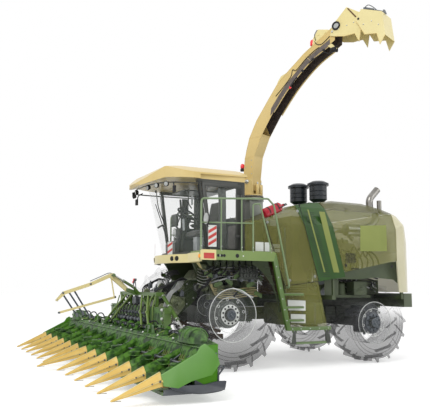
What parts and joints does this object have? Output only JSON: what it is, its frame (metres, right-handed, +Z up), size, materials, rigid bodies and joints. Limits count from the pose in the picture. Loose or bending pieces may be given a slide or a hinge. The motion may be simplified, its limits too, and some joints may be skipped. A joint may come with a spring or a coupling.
{
  "type": "self-propelled forage harvester with row crop header",
  "caption": "Forage harvester with a wide row crop header, glazed cab, swinging discharge spout and see-through body panels, all jointed.",
  "frame": {"origin": "middle of the footprint on the ground", "axes": "+X forward, +Y to the driver's left, +Z up"},
  "size_m": [7.38, 7.5, 6.64],
  "materials": {
    "paint_green": "gloss",
    "chassis_black": "satin",
    "axle_grey": "satin",
    "engine_grey": "satin",
    "radiator_bronze": "satin",
    "fan_bronze": "matte",
    "tank_plastic": "matte",
    "panel_ghost": "satin",
    "tail_ghost": "satin",
    "precleaner_black": "satin",
    "exhaust_chrome": "polished",
    "extinguisher_red": "gloss",
    "paint_cream": "gloss",
    "cab_dark": "satin",
    "cab_glass": "polished",
    "seat_grey": "matte",
    "tyre_rubber": "matte",
    "rim_grey": "satin",
    "header_green": "gloss",
    "point_yellow": "gloss",
    "chain_green": "satin"
  },
  "bodies": {
    "chassis": {"chassis_frame": "chassis_black", "front_axle": "axle_grey", "rear_axle": "chassis_black", "crop_channel": "axle_grey", "engine_block": "engine_grey", "cooling_pack": "radiator_bronze", "fuel_tanks": "tank_plastic", "side_panels_front": "panel_ghost", "intake_bands": "paint_green", "hood_top": "panel_ghost", "precleaners": "precleaner_black", "exhaust": "exhaust_chrome", "extinguisher": "extinguisher_red", "rear_bumper": "paint_green", "platform": "paint_green", "railings": "paint_green", "cab_frame": "cab_dark", "cab_roof": "paint_cream", "cab_glass": "cab_glass", "seat": "seat_grey", "controls": "chassis_black", "fascia": "paint_cream"},
    "wheel_front_left": {"tyre_front_left": "tyre_rubber", "rim_front_left": "rim_grey"},
    "wheel_front_right": {"tyre_front_right": "tyre_rubber", "rim_front_right": "rim_grey"},
    "steering_left": {"knuckle_left": "chassis_black"},
    "steering_right": {"knuckle_right": "chassis_black"},
    "wheel_rear_left": {"tyre_rear_left": "tyre_rubber", "rim_rear_left": "rim_grey"},
    "wheel_rear_right": {"tyre_rear_right": "tyre_rubber", "rim_rear_right": "rim_grey"},
    "door": {"cab_door": "cab_dark", "door_glass": "cab_glass"},
    "folding_ladder": {"ladder": "chassis_black"},
    "side_hatch_left": {"side_panel_rear_left": "panel_ghost"},
    "side_hatch_right": {"side_panel_rear_right": "panel_ghost"},
    "tail_hood": {"hood_tail": "tail_ghost"},
    "fan_rotor_left": {"fan_left": "fan_bronze"},
    "fan_rotor_right": {"fan_right": "fan_bronze"},
    "turret": {"spout_turret": "paint_cream"},
    "spout": {"spout_chute": "paint_cream"},
    "flap_inner": {"deflector_inner": "paint_cream"},
    "flap_outer": {"deflector_outer": "paint_cream"},
    "feeder": {"feeder_house": "axle_grey", "header_frame": "paint_green", "header_deck": "header_green", "points_centre": "point_yellow", "collector_centre": "chain_green"},
    "roller_upper": {"feed_roller_upper": "axle_grey"},
    "roller_lower": {"feed_roller_lower": "axle_grey"},
    "wing_left": {"wing_deck_left": "header_green", "points_left": "point_yellow", "collector_left": "chain_green"},
    "wing_right": {"wing_deck_right": "header_green", "points_right": "point_yellow", "collector_right": "chain_green"},
    "guide": {"crop_guide": "paint_cream"}
  },
  "joints": [
    {"name": "wheel_front_left_spin", "type": "hinge", "parent": "chassis", "child": "wheel_front_left", "pos_m": [0.66, 1.065, 0.95], "axis": [0, 1, 0], "continuous": true},
    {"name": "wheel_front_right_spin", "type": "hinge", "parent": "chassis", "child": "wheel_front_right", "pos_m": [0.66, -1.065, 0.95], "axis": [0, 1, 0], "continuous": true},
    {"name": "steer_left", "type": "hinge", "parent": "chassis", "child": "steering_left", "pos_m": [-2.51, 0.96, 0.76], "axis": [0, 0, 1], "range_deg": [-25, 25]},
    {"name": "steer_right", "type": "hinge", "parent": "chassis", "child": "steering_right", "pos_m": [-2.51, -0.96, 0.76], "axis": [0, 0, 1], "range_deg": [-25, 25]},
    {"name": "wheel_rear_left_spin", "type": "hinge", "parent": "steering_left", "child": "wheel_rear_left", "pos_m": [-2.51, 1.06, 0.76], "axis": [0, 1, 0], "continuous": true},
    {"name": "wheel_rear_right_spin", "type": "hinge", "parent": "steering_right", "child": "wheel_rear_right", "pos_m": [-2.51, -1.06, 0.76], "axis": [0, 1, 0], "continuous": true},
    {"name": "door_hinge", "type": "hinge", "parent": "chassis", "child": "door", "pos_m": [0.2955, 0.972, 2.7], "axis": [0, 0, 1], "range_deg": [0, 38]},
    {"name": "ladder_fold", "type": "hinge", "parent": "chassis", "child": "folding_ladder", "pos_m": [-0.87, 1.465, 0.65], "axis": [1, 0, 0], "range_deg": [0, 90]},
    {"name": "side_hatch_left_lift", "type": "hinge", "parent": "chassis", "child": "side_hatch_left", "pos_m": [-2.24, 1.27, 2.934], "axis": [1, 0, 0], "range_deg": [0, 75]},
    {"name": "side_hatch_right_lift", "type": "hinge", "parent": "chassis", "child": "side_hatch_right", "pos_m": [-2.24, -1.27, 2.934], "axis": [-1, 0, 0], "range_deg": [0, 75]},
    {"name": "tail_hood_lift", "type": "hinge", "parent": "chassis", "child": "tail_hood", "pos_m": [-3.051, 0, 2.95], "axis": [0, 1, 0], "range_deg": [0, 55]},
    {"name": "fan_left_spin", "type": "hinge", "parent": "chassis", "child": "fan_rotor_left", "pos_m": [-0.865, 0.44, 2.18], "axis": [1, 0, 0], "continuous": true},
    {"name": "fan_right_spin", "type": "hinge", "parent": "chassis", "child": "fan_rotor_right", "pos_m": [-0.865, -0.44, 2.18], "axis": [1, 0, 0], "continuous": true},
    {"name": "spout_slew", "type": "hinge", "parent": "chassis", "child": "turret", "pos_m": [-0.48, 0, 3.265], "axis": [0, 0, 1], "range_deg": [-40, 170]},
    {"name": "spout_lower", "type": "hinge", "parent": "turret", "child": "spout", "pos_m": [-0.48, 0, 3.56], "axis": [-0.9063, -0.4226, 0], "range_deg": [0, 25]},
    {"name": "flap_inner_tilt", "type": "hinge", "parent": "spout", "child": "flap_inner", "pos_m": [-1.32312, 1.80808, 6.235], "axis": [-0.9063, -0.4226, 0], "range_deg": [-20, 40]},
    {"name": "flap_outer_tilt", "type": "hinge", "parent": "flap_inner", "child": "flap_outer", "pos_m": [-1.55556, 2.30655, 6.33], "axis": [-0.9063, -0.4226, 0], "range_deg": [-25, 40]},
    {"name": "header_lift", "type": "hinge", "parent": "chassis", "child": "feeder", "pos_m": [0.96, 0, 1.42], "axis": [0, -1, 0], "range_deg": [0, 12]},
    {"name": "roller_upper_spin", "type": "hinge", "parent": "feeder", "child": "roller_upper", "pos_m": [1.7, 0, 0.9], "axis": [0, 1, 0], "continuous": true},
    {"name": "roller_lower_spin", "type": "hinge", "parent": "feeder", "child": "roller_lower", "pos_m": [1.74, 0, 0.708], "axis": [0, 1, 0], "continuous": true},
    {"name": "wing_left_fold", "type": "hinge", "parent": "feeder", "child": "wing_left", "pos_m": [2.36, 1.5, 0.8], "axis": [1, 0, 0], "range_deg": [0, 90]},
    {"name": "wing_right_fold", "type": "hinge", "parent": "feeder", "child": "wing_right", "pos_m": [2.36, -1.5, 0.8], "axis": [-1, 0, 0], "range_deg": [0, 90]},
    {"name": "guide_tilt", "type": "hinge", "parent": "feeder", "child": "guide", "pos_m": [2.14, 0, 1.37], "axis": [0, -1, 0], "range_deg": [-15, 25]}
  ],
  "couplings": [
    {"joint": "steer_right", "follows": "steer_left", "ratio": 1}
  ]
}
